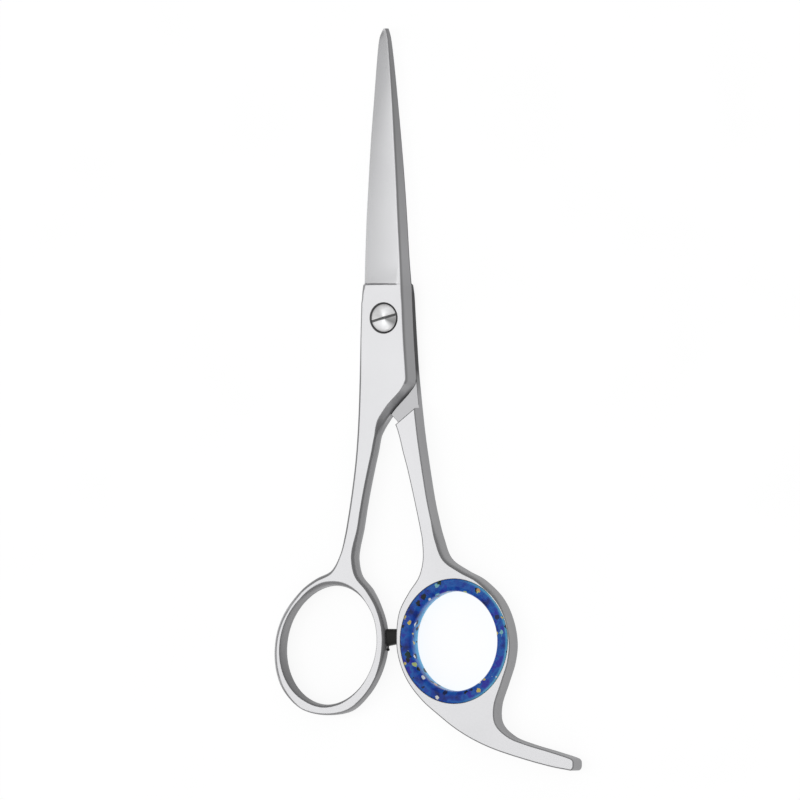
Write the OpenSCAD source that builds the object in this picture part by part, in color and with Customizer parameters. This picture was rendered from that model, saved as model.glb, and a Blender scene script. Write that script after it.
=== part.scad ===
// Hair cutting shears, closed, lying flat on their back.
// +Z runs along the pivot axis out of the screw head, +Y towards the blade tips, +X towards the tang.
// The origin is where the pivot axis meets the plane that the shears lie on. Millimetres.

/* [Forgings] */
// Thickness of the shanks, rings and joint, both halves together
body_t = 4.7; // [4.3:0.1:5.2]
// Gap between the flat sides of the two halves at the joint
ride_gap = 0.06; // [0.04:0.01:0.1]
// How far the rear blade is narrower than the front blade, on each side
blade_tuck = 0.12; // [0.05:0.01:0.3]
// Height of the cutting edge's land above the flat side, as a share of the blade's height
edge_share = 0.2; // [0.1:0.05:0.4]

/* [Finger rings] */
// Half width of the left ring's opening
ring_hole_rx = 12.6; // [12:0.1:12.8]
// Half length of the left ring's opening
ring_hole_ry = 14.7; // [14:0.1:14.9]
// Lean of the left ring's opening, clockwise
ring_hole_lean = 21; // [15:1:25]
// Half width of the right ring's opening, which the insert fills
insert_rx = 14.5; // [14:0.1:14.7]
// Half length of the right ring's opening
insert_ry = 15; // [14.6:0.1:15.2]
// Radial width of the finger insert
insert_wall = 3; // [2:0.1:3.4]
// How far the insert stands above the front face
insert_proud = 0.1; // [0:0.05:0.3]

/* [Pivot] */
// Diameter of the screw head
head_d = 6.8; // [6.4:0.1:7]
// How far the top of the domed head stands above the front face
head_proud = 0.15; // [0:0.05:0.4]
// Width of the screwdriver slot
slot_w = 0.6; // [0.5:0.1:1.2]
// Depth of the screwdriver slot
slot_depth = 0.55; // [0.3:0.05:0.6]
// Direction of the slot, counterclockwise from +X
slot_turn = 15; // [0:1:180]
// Diameter of the screw's shank
shank_d = 4; // [3.6:0.1:4.4]
// Radial running clearance of the shank in both halves
run_clear = 0.04; // [0.02:0.01:0.1]
// Depth of the recess that holds the head and its washer
recess_depth = 1.2; // [1.1:0.05:1.4]
// Width of the dark gap round the head
recess_gap = 0.35; // [0.15:0.05:0.4]

/* [Bumper] */
// Diameter of the bumper at the left ring
bumper_d1 = 4.3; // [4:0.1:4.5]
// Diameter of the bumper where it meets the right ring
bumper_d2 = 3.7; // [3.4:0.1:4]
// Diameter of the stem that plugs it into the left ring
stem_d = 1.8; // [1.4:0.1:2]

/* [Hidden] */
$fn = 96;

joint_z = body_t / 2;
front_z = joint_z + ride_gap / 2;
rear_z = joint_z - ride_gap / 2;
curve_steps = 4;
blade_steps = 3;
// How far a cutter runs past what it cuts, how deep joined solids lap, and a block larger than either half's joint
past = 1;
lap = 0.1;
block = [80, 80, 20];

washer_t = 0.25;
washer_play = 0.03;
washer_bore = shank_d + 0.3;
washer_d = 6.4;
glide_t = 0.2;
glide_d = 10;
pit_clear = 0.03;

head_base_z = body_t - recess_depth + washer_t;
dome_h = 0.25;
head_side_h = body_t + head_proud - dome_h - head_base_z;
dome_r = (head_d * head_d / 4 + dome_h * dome_h) / (2 * dome_h);

ring_center = [-15.1, -79.2];
insert_center = [19, -77.95];
// The bumper leans a little as it tapers from the left ring to the right one, and its two sides are flat
bumper_y = -77.2;
bumper_z = 2.2;
bumper_half = 1.6;
bumper_x1 = -1.8;
bumper_x2 = 3.25;
bumper_lean = 5;
stem_x = -1.6;
stem_len = 2.2;
stem_play = 0.1;
stem_clear = 0.02;
nub_pos = [0.4, -80, 3];
nub_d = 0.7;
nub_neck_d = 0.36;
nub_neck_len = 1.3;

// Spine facet of the joint: its foot at the shoulder and at the ricasso, its ridge, and where it ends
facet_foot_low = [7.55, -13];
facet_foot_high = [6.45, 6];
facet_ridge_x = 5.8;
facet_end_y = -14.2;
facet_size = [20, 30];

// One blade, tip end last: [y, cutting edge x, ridge x, spine foot x, ridge height]
blade_sections = [
    [6, -6.1, 4.65, 6.45, 2.27],
    [14, -5.95, 4.25, 5.75, 2.15],
    [23.7, -5.6, 3.6, 5.15, 1.95],
    [33.3, -5.05, 3.05, 4.45, 1.8],
    [43, -4.45, 2.4, 3.6, 1.6],
    [52.6, -3.65, 1.75, 2.65, 1.4],
    [62.3, -2.85, 0.9, 1.6, 1.15],
    [67.1, -2.3, 0.4, 0.95, 1],
    [69, -1.6, 0, 0.5, 0.9],
    [69.9, -1.1, -0.35, 0.15, 0.8]
];

// Joint, left shank and outside of the left ring, from the ricasso's left end round to its right end
front_outline = [
    [-6.1, 8], [-6.2, 3.6], [-6.45, -5.3], [-6.7, -15], [-7.05, -24.6], [-7.6, -32.4],
    [-8.25, -38.1], [-9.1, -43.9], [-9.95, -48.8], [-10.8, -53], [-12.2, -57.3], [-14.7, -61],
    [-18.9, -63], [-22.8, -65.7], [-27, -70.3], [-29.5, -75.5], [-30.3, -81.3], [-29.4, -87],
    [-26.8, -91.3], [-22.3, -94.7], [-16.3, -95.95], [-10, -95], [-5.4, -91.5], [-2.1, -86.8],
    [-0.12, -81], [-0.06, -75], [-1.7, -69.7], [-4.35, -65.5], [-7.2, -62.3], [-8.15, -58.8],
    [-7.95, -55.8], [-6.86, -51.2], [-6.01, -46.3], [-5.06, -41.5], [-3.86, -36.2], [-2.91, -32.3],
    [-2.08, -28.5], [-0.75, -25.3], [1.9, -22], [5.15, -18.8], [7.2, -15.8], [7.5, -12.3],
    [7, -5.3], [6.65, 1.6], [6.4, 8]
];

// Joint, right shank, outside of the right ring and tang, from the ricasso's right end round to its left
rear_outline = [
    [6.2, 8], [6.45, 3.5], [6.75, -1.5], [7.05, -6], [7.5, -12.5], [8.1, -19], [8.75, -24.6],
    [9.25, -28.5], [9.85, -32.4], [10.8, -38.1], [11.85, -43.9], [13, -48.8], [14.3, -53.2],
    [16.4, -58], [20.9, -60.9], [25.5, -63.2], [30.2, -67.4], [32.9, -72.4], [34.1, -78],
    [33.6, -83], [31.9, -88], [30, -93.4], [30.3, -97.8], [33.7, -100.9], [38.6, -102.7],
    [45, -104.4], [50.5, -106]
];
tang_end = [[51.3, -106.7], [51.3, -108.3], [50.6, -109]];
rear_inner_outline = [
    [50.6, -109], [45, -108.1], [38.3, -106.5], [30.3, -104.2], [24.5, -101.9], [19.5, -99.2],
    [14.7, -95.8], [10.1, -92.1], [6.2, -87.4], [3.9, -82], [3.35, -76.8], [4.1, -71],
    [6.6, -66.4], [9.4, -62.5], [10.5, -58.4], [10.35, -54], [9.85, -51.2], [8.75, -46.3],
    [7.6, -41.5], [6.25, -36.2], [5.1, -32.3], [4.1, -28.5], [2.9, -25.5], [0.3, -22.9],
    [-4.5, -18.9], [-7, -15.7], [-7.45, -12], [-7, -5.3], [-6.5, 1.6], [-6.25, 8]
];

// The full-thickness parts lie below these lines, which are the steps that face the other half
front_step = [[20, -40.35], [-20, -6.35], [-60, -6.35], [-60, -120], [20, -120]];
rear_step = [[-20, -43.4], [20, -12.8], [60, -12.8], [60, -120], [-20, -120]];

// Catmull-Rom curve through a list of points or sections
function curve_at(a, b, c, d, t) =
    0.5 * (2 * b + (c - a) * t + (2 * a - 5 * b + 4 * c - d) * t * t + (3 * b - a - 3 * c + d) * t * t * t);
function curve(p, steps) = [
    for (i = [0:len(p) - 2], k = [0:steps - 1])
        curve_at(p[max(i - 1, 0)], p[i], p[i + 1], p[min(i + 2, len(p) - 1)], k / steps),
    p[len(p) - 1]
];
function oval(rx, ry, steps = 72) = [
    for (i = [0:steps - 1]) [rx * cos(360 * i / steps), ry * sin(360 * i / steps)]
];
// The rear blade lies under the front one, with its cutting edge under the front blade's spine
function rear_section(s) = [
    s[0], s[3] - blade_tuck, s[1] + blade_tuck + s[3] - s[2], s[1] + blade_tuck, s[4]
];

// Blade with its flat side on z = 0: land at the cutting edge, ground face up to the ridge, spine facet
module blade(sections, turn) {
    corners = [
        for (s = sections)
            each [[s[1], s[0], 0], [s[1], s[0], s[4] * edge_share], [s[2], s[0], s[4]], [s[3], s[0], 0]]
    ];
    last = 4 * (len(sections) - 1);
    walls = [
        for (i = [0:len(sections) - 2], k = [0:3])
            let (a = 4 * i + k, b = 4 * i + (k + 1) % 4)
                each [[a, b, b + 4], [a, b + 4, a + 4]]
    ];
    ends = [[0, 2, 1], [0, 3, 2], [last, last + 1, last + 2], [last, last + 2, last + 3]];
    faces = concat(walls, ends);
    polyhedron(corners, turn ? [for (f = faces) [f[2], f[1], f[0]]] : faces);
}

module layer(outline, low, high) {
    translate([0, 0, low])
        linear_extrude(high - low)
            polygon(outline);
}

// Everything on the far side of a plane through three points
module beyond(a, b, c) {
    n = cross(b - a, c - a);
    translate(a)
        rotate([0, acos(n[2] / norm(n)), atan2(n[1], n[0])])
            translate([-block[0] / 2, -block[1] / 2, 0])
                cube(block);
}

// The slanted spine facet of a joint, cut from the ricasso down to the shoulder
module joint_facet(side, flat_z, top_z) {
    intersection() {
        translate([side > 0 ? 0 : -facet_size[0], facet_end_y, -past])
            cube([facet_size[0], facet_size[1], body_t + 2 * past]);
        low = [facet_foot_low[0] * side, facet_foot_low[1], flat_z];
        high = [facet_foot_high[0] * side, facet_foot_high[1], flat_z];
        ridge = [facet_ridge_x * side, facet_foot_low[1], top_z];
        if (side * (top_z - flat_z) > 0)
            beyond(low, high, ridge);
        else
            beyond(low, ridge, high);
    }
}

module front_half() {
    outline = curve(front_outline, curve_steps);
    color([0.82, 0.82, 0.83])
        difference() {
            union() {
                layer(outline, front_z, body_t);
                intersection() {
                    layer(outline, 0, front_z);
                    layer(front_step, -past, body_t + past);
                }
                translate([0, 0, front_z])
                    blade(curve(blade_sections, blade_steps), true);
            }
            joint_facet(1, front_z, body_t);
            translate([ring_center[0], ring_center[1], -past])
                rotate([0, 0, -ring_hole_lean])
                    linear_extrude(body_t + 2 * past)
                        polygon(oval(ring_hole_rx, ring_hole_ry));
            translate([0, 0, -past])
                cylinder(d = shank_d + 2 * run_clear, h = body_t + 2 * past);
            translate([0, 0, body_t - recess_depth])
                cylinder(d = head_d + 2 * recess_gap, h = recess_depth + past);
            translate([stem_x, bumper_y, bumper_z])
                rotate([0, 90, 0])
                    cylinder(d = stem_d + 2 * stem_clear, h = 2 * stem_len);
        }
}

module rear_half() {
    outline = concat(curve(rear_outline, curve_steps), tang_end, curve(rear_inner_outline, curve_steps));
    color([0.8, 0.8, 0.81])
        difference() {
            union() {
                layer(outline, 0, rear_z);
                intersection() {
                    layer(outline, rear_z, body_t);
                    layer(rear_step, -past, body_t + past);
                }
                translate([0, 0, rear_z])
                    mirror([0, 0, 1])
                        blade(curve([for (s = blade_sections) rear_section(s)], blade_steps), false);
            }
            joint_facet(-1, rear_z, 0);
            translate([insert_center[0], insert_center[1], -past])
                linear_extrude(body_t + 2 * past)
                    polygon(oval(insert_rx, insert_ry));
            translate([0, 0, -past])
                cylinder(d = shank_d + 2 * run_clear, h = body_t + 2 * past);
            translate([0, 0, rear_z - glide_t])
                cylinder(d = glide_d + 2 * pit_clear, h = glide_t + past);
        }
}

module pivot_screw() {
    color([0.85, 0.85, 0.86])
        difference() {
            union() {
                cylinder(d = shank_d, h = head_base_z + lap);
                translate([0, 0, head_base_z])
                    cylinder(d = head_d, h = head_side_h);
                intersection() {
                    translate([0, 0, head_base_z + head_side_h - dome_r + dome_h])
                        sphere(r = dome_r);
                    translate([0, 0, head_base_z + head_side_h - lap])
                        cylinder(d = head_d, h = dome_h + lap + past);
                }
            }
            rotate([0, 0, slot_turn])
                translate([-head_d, -slot_w / 2, body_t + head_proud - slot_depth])
                    cube([2 * head_d, slot_w, slot_depth + past]);
        }
}

module washer(od, thickness, low) {
    translate([0, 0, low])
        difference() {
            cylinder(d = od, h = thickness);
            translate([0, 0, -past])
                cylinder(d = washer_bore, h = thickness + 2 * past);
        }
}

module spring_washer() {
    color([0.6, 0.6, 0.62])
        washer(washer_d, washer_t - washer_play, body_t - recess_depth);
}

module glide_washer() {
    color([0.93, 0.93, 0.9])
        washer(glide_d, glide_t, rear_z - glide_t);
}

module bumper() {
    color([0.06, 0.06, 0.06]) {
        difference() {
            intersection() {
                translate([bumper_x1, bumper_y, bumper_z])
                    rotate([0, 90, bumper_lean])
                        cylinder(d1 = bumper_d1, d2 = bumper_d2, h = bumper_x2 - bumper_x1 + past);
                translate([bumper_x1, bumper_y - bumper_d1, bumper_z - bumper_half])
                    cube([bumper_x2 - bumper_x1, 2 * bumper_d1, 2 * bumper_half]);
            }
            layer(curve(front_outline, curve_steps), -past, body_t + past);
        }
        translate([stem_x + stem_play, bumper_y, bumper_z])
            rotate([0, 90, 0])
                cylinder(d = stem_d, h = stem_len);
        translate(nub_pos)
            rotate([-90, 0, 0])
                cylinder(d = nub_neck_d, h = nub_neck_len);
        translate(nub_pos)
            sphere(d = nub_d);
    }
}

module finger_insert() {
    color([0.1, 0.3, 0.75, 0.8])
        translate([insert_center[0], insert_center[1], 0])
            difference() {
                linear_extrude(body_t + insert_proud)
                    polygon(oval(insert_rx, insert_ry));
                translate([0, 0, -past])
                    linear_extrude(body_t + insert_proud + 2 * past)
                        polygon(oval(insert_rx - insert_wall, insert_ry - insert_wall));
            }
}

front_half();
rear_half();
pivot_screw();
spring_washer();
glide_washer();
bumper();
finger_insert();
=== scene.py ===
"""Hair cutting shears, closed and lying flat: two steel halves, pivot screw, bumper and finger insert.

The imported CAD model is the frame. Shapes are written in millimetres in the CAD's own axes, and turned into
metres where a mesh is made: +Z along the pivot out of the screw head, +Y to the blade tips, +X to the tang.
"""

import math

import bpy
import numpy as np
from mathutils import Matrix, Vector
from mathutils.geometry import tessellate_polygon


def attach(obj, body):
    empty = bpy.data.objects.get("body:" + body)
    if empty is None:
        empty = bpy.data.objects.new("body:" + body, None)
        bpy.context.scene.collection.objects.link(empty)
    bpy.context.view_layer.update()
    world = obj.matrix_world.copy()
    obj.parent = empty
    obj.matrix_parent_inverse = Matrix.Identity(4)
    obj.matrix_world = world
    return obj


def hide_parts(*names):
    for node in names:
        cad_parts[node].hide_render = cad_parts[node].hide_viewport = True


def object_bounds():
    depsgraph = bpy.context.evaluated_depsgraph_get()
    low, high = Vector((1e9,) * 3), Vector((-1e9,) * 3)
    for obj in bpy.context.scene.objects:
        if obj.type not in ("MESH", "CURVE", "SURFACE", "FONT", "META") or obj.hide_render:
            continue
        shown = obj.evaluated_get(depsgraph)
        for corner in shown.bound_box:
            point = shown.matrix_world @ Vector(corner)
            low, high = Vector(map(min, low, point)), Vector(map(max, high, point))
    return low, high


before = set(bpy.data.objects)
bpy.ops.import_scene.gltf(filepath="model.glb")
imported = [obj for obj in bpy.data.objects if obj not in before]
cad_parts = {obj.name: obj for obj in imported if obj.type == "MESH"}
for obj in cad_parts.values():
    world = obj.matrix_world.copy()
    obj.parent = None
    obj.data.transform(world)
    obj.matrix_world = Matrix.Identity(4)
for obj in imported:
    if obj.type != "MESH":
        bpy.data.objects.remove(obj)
cad_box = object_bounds()

MM = 0.001
SMOOTH_ANGLE = 35

# Thickness of the joint, and height of a half's flat side in its own frame, with its joint layer on top
BODY_T = 4.7
FRONT_Z = 2.38

# How far the rear blade stays inside the front one, and the cutting edge's height as a share of the ridge's
BLADE_TUCK = 0.12
EDGE_SHARE = 0.2

# Pivot
HEAD_D = 6.8
HEAD_TOP = 4.85
HEAD_BASE = 3.75
DOME_H = 0.25
SLOT_W = 0.6
SLOT_DEPTH = 0.55
SLOT_TURN = math.radians(15)
SHANK_D = 4.0
BORE_R = 2.04
RECESS_R = 3.75
RECESS_NECK = 3.47
RECESS_FLOOR = 3.5
PIT_R = 5.03
PIT_DEPTH = 0.2

# Rings
RING_CENTER = (-15.15, -79.05)
RING_HOLE = (12.6, 14.6)
RING_LEAN = math.radians(-21)
INSERT_CENTER = (19.0, -77.95)
INSERT_HOLE = (14.5, 15.0)
INSERT_WALL = 2.95
INSERT_TOP = 4.8

# Bumper: from the left ring to the right one, with its radius at the left and how much it tapers
BUMPER_X = (-0.5, 3.25)
BUMPER_Y = -77.2
BUMPER_Z = 2.2
BUMPER_R = 2.15
BUMPER_TAPER = 0.37
BUMPER_FLAT = 1.6
BUMPER_ROUND = 0.3
NUB_X = 0.4
STEM_X = -1.6
STEM_R = 0.9

# One blade, tip end last: y, cutting edge x, ridge x, spine foot x, ridge height
BLADE = [
    (2, -6.24, 4.9, 6.6, 2.32),
    (6, -6.12, 4.65, 6.45, 2.32),
    (14, -5.95, 4.25, 5.75, 2.2),
    (23.7, -5.6, 3.6, 5.15, 1.98),
    (33.3, -5.05, 3.05, 4.45, 1.8),
    (43, -4.45, 2.4, 3.6, 1.6),
    (52.6, -3.65, 1.75, 2.65, 1.4),
    (62.3, -2.85, 0.9, 1.6, 1.15),
    (67.1, -2.3, 0.4, 0.95, 1.0),
    (69, -1.6, 0, 0.5, 0.9),
    (69.9, -1.1, -0.35, 0.15, 0.8),
]

# Finish of the steel with painted light and shade, from the polished face down to the painted dark of a gap:
# each level gives a polish and a base tone that paints in how light falls there
FACE, JOINT, SHOULDER, SPINE, SIDE, GAP = 1.0, 0.95, 0.75, 0.62, 0.5, 0.15

# How a side falls away from its face: run, drop, where the curve's control point is as a share of the run
# and of the drop, edge rounding, finish with painted shade, and finish with painted shade at the foot, the
# same as the side's unless it's given.
# A control point at 0, 0 makes a round that leaves the face smoothly, at 0.5, 0.5 a flat facet, and between
# them a side that bulges less.
SIDES = {
    "fine": (0.3, 0.3, 0, 0, 0.02, SIDE),
    "soft": (0.45, 0.5, 0, 0, 0.02, 0.6),
    "lean": (0.6, 0.6, 0, 0, 0.02, 0.5),
    "facet": (1.75, 2.22, 0.5, 0.5, 0.13, SPINE),
    "facet_low": (1.35, 2.15, 0.45, 0.5, 0.13, SHOULDER, 0.25),
    "facet_end": (1.1, 1.9, 0.3, 0.45, 0.13, 0.55, 0.25),
    "shank": (0.45, 0.7, 0.15, 0.2, 0.05, 0.42),
    "tang": (0.6, 0.6, 0, 0, 0.02, 0.36),
    "neck": (0.6, 1.2, 0, 0.2, 0.06, SIDE),
    "ring_top": (0.9, 1.8, 0, 0.2, 0.1, SIDE),
    "ring_left": (1.25, 2.25, 0, 0.25, 0.1, 0.68),
    "ring_low": (0.35, 1.2, 0, 0.2, 0.1, SIDE),
    "ring_right": (0.65, 0.8, 0.25, 0.3, 0.05, 0.42),
    "ring_back": (1.1, 2.25, 0, 0.25, 0.1, SIDE),
    "back": (0.6, 0.6, 0, 0, 0.02, SIDE),
    # The rear half's strip beside the front's facet is painted near black: painted shade
    "strip": (0.8, 0.9, 0, 0, 0.02, 0.02),
    "ring_back_right": (1.4, 2.3, 0.35, 0.45, 0.1, 0.55),
    "ring_low_right": (0.3, 0.6, 0.1, 0.2, 0.05, 0.42),
}
SIDES = {name: side if len(side) > 6 else side + (side[5],) for name, side in SIDES.items()}


def stretch(front, back, *points):
    """Outline points that have the same side at the front and at the back."""
    return [(x, y, front, back) for x, y in points]


# The front half, from the joint's left side round the left ring to the joint's right side
FRONT_OUTLINE = (
    stretch("soft", "fine", (-6.1, 8), (-6.2, 3.6), (-6.45, -5.3))
    + stretch("lean", "back", (-6.7, -15), (-7.05, -24.6), (-7.6, -32.4), (-8.25, -38.1), (-9.1, -43.9),
              (-9.95, -48.8), (-10.8, -53))
    + stretch("neck", "ring_back", (-12.2, -57.3))
    + stretch("ring_top", "ring_back", (-14.7, -61), (-18.9, -63), (-22.8, -65.7))
    + stretch("ring_left", "ring_back", (-27, -70.3), (-29.5, -75.5), (-30.3, -81.3), (-29.4, -87))
    + stretch("ring_top", "ring_back", (-26.8, -91.3))
    + stretch("ring_low", "ring_back", (-22.3, -94.7), (-16.3, -95.95), (-10, -95))
    + stretch("ring_low_right", "ring_back_right", (-5.4, -91.5), (-2.1, -86.8))
    + stretch("ring_right", "ring_back_right", (-0.12, -81), (-0.06, -75), (-1.7, -69.7))
    + stretch("ring_right", "ring_back", (-4.35, -65.5), (-7.2, -62.3), (-8.15, -58.8), (-7.95, -55.8))
    + stretch("shank", "ring_back", (-6.86, -51.2), (-6.01, -46.3), (-5.06, -41.5), (-3.86, -36.2),
              (-2.91, -32.3), (-2.08, -28.5))
    + stretch("facet_end", "fine", (-0.75, -25.3))
    + stretch("facet_low", "fine", (1.9, -22), (5.3, -18.6))
    + stretch("facet", "fine", (7.1, -16.4), (7.6, -15), (7.5, -12.3), (7, -5.3), (6.65, 1.6), (6.4, 8))
)

# The rear half seen from the front, from the joint's right side round the tang to the joint's left side
REAR_OUTLINE = (
    stretch("strip", "fine", (6.2, 8), (6.45, 3.5), (6.75, -1.5), (7.05, -6), (7.5, -12.5))
    + stretch("back", "fine", (8.1, -19), (8.75, -24.6), (9.25, -28.5), (9.85, -32.4), (10.8, -38.1),
              (11.85, -43.9), (13, -48.8))
    + stretch("back", "ring_right", (14.3, -53.2), (16.4, -58), (20.9, -60.9), (25.5, -63.2),
              (30.2, -67.4))
    + stretch("back", "fine", (32.9, -72.4), (34.1, -78), (33.6, -83), (31.9, -88), (30, -93.4),
              (30.3, -97.8))
    + stretch("tang", "fine", (33.7, -100.9), (38.6, -102.7), (45, -104.4))
    + stretch("fine", "fine", (50, -105.85), (51.1, -106.5), (51.3, -107.2), (51.2, -108.4), (50.5, -109),
              (49.4, -108.85), (45, -108.1), (38.3, -106.5), (30.3, -104.2), (24.5, -101.9),
              (19.5, -99.2), (14.7, -95.8), (10.1, -92.1), (6.2, -87.4), (3.9, -82), (3.35, -76.8),
              (4.1, -71), (6.6, -66.4), (9.4, -62.5), (10.5, -58.4), (10.35, -54), (9.85, -51.2),
              (8.75, -46.3), (7.6, -41.5), (6.25, -36.2), (5.1, -32.3), (4.1, -28.5))
    + stretch("facet_end", "fine", (2.9, -25.5))
    + stretch("facet_low", "fine", (0.3, -22.9), (-4.5, -18.9), (-7, -15.7))
    + stretch("facet", "fine", (-7.45, -12), (-7, -5.3), (-6.5, 1.6), (-6.25, 8))
)

# The steps between the joint and the full thickness: two points on each, in the half's own frame
FRONT_STEP = ((-20, -6.35), (20, -40.35))
REAR_STEP = ((-20, -12.8), (20, -43.4))

# Rounding of a step's foot, and how near to a step's end an outline point is left out
STEP_ROUND = 0.25
MERGE = 0.3

# The ricasso: where the ground face starts, how long its slope is, and the round of the joint's left edge
RICASSO_Y = 7.95
RICASSO_RUN = 0.42
RICASSO_CORNER = 1.2

# The ground face: its crown, the length over which the crown fades to the tip, and the share of the width at
# which it is as high as the ridge, beside the ricasso
CROWN = 0.07
CROWN_RUN = 20
LEVEL_SHARE = 0.92

# The outlines end here, and the stations across the blade start a little below
OUTLINE_END = 8
STATION_Y = 4.6

# Points for each span of an outline, rows round a face's edge and down a side, columns across the blade
CURVE_STEPS = 7
EDGE_ROWS = 3
SIDE_ROWS = 9
GRID_COLUMNS = 26

# The foot of a side at the joint plane: its rounding inwards and its height
FOOT_ROUND = 0.1
FOOT_SPAN = 0.3

# A drop past the foot of any side, which is shortened to end there
DEEP = 9

# Painted shade at the foot of a side that stands close over the other half, given as a finish value
CONTACT_SHADE = 0.1

# How much darker a facet is painted at its ridge, as painted shade, and the drop above which a side is such a
# facet
CREASE_SHADE = 0.2
FACET_DROP = 2.2


class Shape:
    """Vertices in millimetres and faces, each face flat or smooth."""

    def __init__(self):
        self.verts = []
        self.finish_and_painted_light = []
        self.faces = []
        self.flat = []
        self.flat_finish_and_painted_light = []

    def add(self, points, finish_and_painted_light=FACE):
        first = len(self.verts)
        self.verts.extend(tuple(map(float, p)) for p in points)
        values = [finish_and_painted_light] * len(points) if np.isscalar(finish_and_painted_light) else finish_and_painted_light
        self.finish_and_painted_light.extend(map(float, values))
        return list(range(first, len(self.verts)))

    def face(self, indices, flat=False, finish_and_painted_light=FACE):
        self.faces.append(tuple(indices))
        self.flat.append(flat)
        self.flat_finish_and_painted_light.append(finish_and_painted_light)

    def rows(self, points, finish_and_painted_light):
        """Adds points, columns along the outline by rows down the side, and returns their indices."""
        return np.array([self.add(column, f) for column, f in zip(points, finish_and_painted_light)])

    def wall(self, index, closed):
        """Quads between the columns of a side. The outline runs with the solid on its left."""
        count = len(index)
        for i in range(count if closed else count - 1):
            a, b = index[i], index[(i + 1) % count]
            for k in range(len(a) - 1):
                self.face((a[k], a[k + 1], b[k + 1], b[k]))

    def fill(self, loops, normal, finish_and_painted_light=FACE):
        """Fills planar loops of vertex indices, the first one outside and the others holes, facing normal."""
        flat_loops = [[Vector(self.verts[i]) for i in loop] for loop in loops]
        order = [i for loop in loops for i in loop]
        normal = Vector(normal)
        for triangle in tessellate_polygon(flat_loops):
            a, b, c = (order[i] for i in triangle)
            pa, pb, pc = (Vector(self.verts[i]) for i in (a, b, c))
            area = (pb - pa).cross(pc - pa)
            if area.length < 1e-9:
                continue
            self.face((a, b, c) if area.dot(normal) > 0 else (a, c, b), True, finish_and_painted_light)

    def turned_over(self):
        """The same solid turned over about the Y axis, as one half of the shears is to the other."""
        self.verts = [(-x, y, BODY_T - z) for x, y, z in self.verts]
        return self

    def mesh_object(self, name):
        mesh = bpy.data.meshes.new(name)
        low = np.array(cad_box[0]) / MM
        high = np.array(cad_box[1]) / MM
        points = np.clip(np.array(self.verts), low, high) * MM
        mesh.from_pydata([tuple(p) for p in points], [], self.faces)
        mesh.update()
        set_normals(mesh, self.flat, math.cos(math.radians(SMOOTH_ANGLE)))
        attribute = mesh.attributes.new("finish_and_painted_light", "FLOAT", "CORNER")
        values = []
        for face, flat, finish_and_painted_light in zip(self.faces, self.flat, self.flat_finish_and_painted_light):
            values.extend(finish_and_painted_light if flat else self.finish_and_painted_light[v] for v in face)
        attribute.data.foreach_set("value", values)
        piece = bpy.data.objects.new(name, mesh)
        bpy.context.scene.collection.objects.link(piece)
        return piece


def set_normals(mesh, flat, limit):
    """Area-weighted smooth normals. A flat face keeps its own, and a round beside it takes the same."""
    count = len(mesh.polygons)
    normals = np.zeros(count * 3)
    mesh.polygons.foreach_get("normal", normals)
    normals = normals.reshape(-1, 3)
    areas = np.zeros(count)
    mesh.polygons.foreach_get("area", areas)
    around = [[] for _ in mesh.vertices]
    for polygon in mesh.polygons:
        for v in polygon.vertices:
            around[v].append(polygon.index)
    result = []
    for polygon in mesh.polygons:
        own = normals[polygon.index]
        for v in polygon.vertices:
            if flat[polygon.index]:
                result.append(tuple(own))
                continue
            near = [f for f in around[v] if normals[f] @ own > limit]
            level = [f for f in near if flat[f]]
            if level:
                total = normals[max(level, key=lambda f: areas[f])]
            else:
                total = sum(normals[f] * areas[f] for f in near)
            length = np.linalg.norm(total) if len(near) else 0
            result.append(tuple(total / length) if length > 0 else tuple(own))
    mesh.polygons.foreach_set("use_smooth", [True] * count)
    mesh.normals_split_custom_set(result)


def catmull(points, steps):
    """Catmull-Rom curve through points, any number of columns."""
    p = np.array(points, float)
    out = []
    for i in range(len(p) - 1):
        a, b, c, d = p[max(i - 1, 0)], p[i], p[i + 1], p[min(i + 2, len(p) - 1)]
        for t in np.arange(steps) / steps:
            bend = (2 * a - 5 * b + 4 * c - d) * t**2 + (3 * b - a - 3 * c + d) * t**3
            out.append(0.5 * (2 * b + (c - a) * t + bend))
    return np.array(out + [p[-1]])


def linear(points, steps):
    """Straight runs through points, any number of columns."""
    p = np.array(points, float)
    t = np.arange((len(p) - 1) * steps + 1) / steps
    return np.column_stack([np.interp(t, np.arange(len(p)), p[:, k]) for k in range(p.shape[1])])


def smooth(t):
    t = np.clip(t, 0, 1)
    return t * t * (3 - 2 * t)


def side_rows(top, foot, side, foot_in, foot_span):
    """One side from its face's edge down to the foot, as (inset, z) rows."""
    run, drop, pull_x, pull_z, edge = side[:5]
    drop = min(drop, top - foot - foot_span)
    start = np.array([run, top])
    corner = np.array([run * pull_x, top - drop * pull_z])
    end = np.array([0, top - drop])

    def at(t):
        return (1 - t) ** 2 * start + 2 * t * (1 - t) * corner + t**2 * end

    length = 2 * np.linalg.norm(corner - start) + 1e-6
    t_edge = min(0.5, edge / length)
    lead, landing = start + [edge, 0], at(t_edge)
    rows = []
    for t in np.arange(EDGE_ROWS) / EDGE_ROWS:
        rows.append((1 - t) ** 2 * lead + 2 * t * (1 - t) * start + t**2 * landing)
    rows += [at(t) for t in np.linspace(t_edge, 1, SIDE_ROWS)]
    low = np.array([0, foot + foot_span])
    rows[-1] = rows[-1] if rows[-1][1] > low[1] + 1e-3 else low + [0, 1e-3]
    rows.append(low)
    rows.append(np.array([foot_in * 0.3, foot + foot_span * 0.3]))
    rows.append(np.array([foot_in, foot]))
    return np.array(rows)


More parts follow.
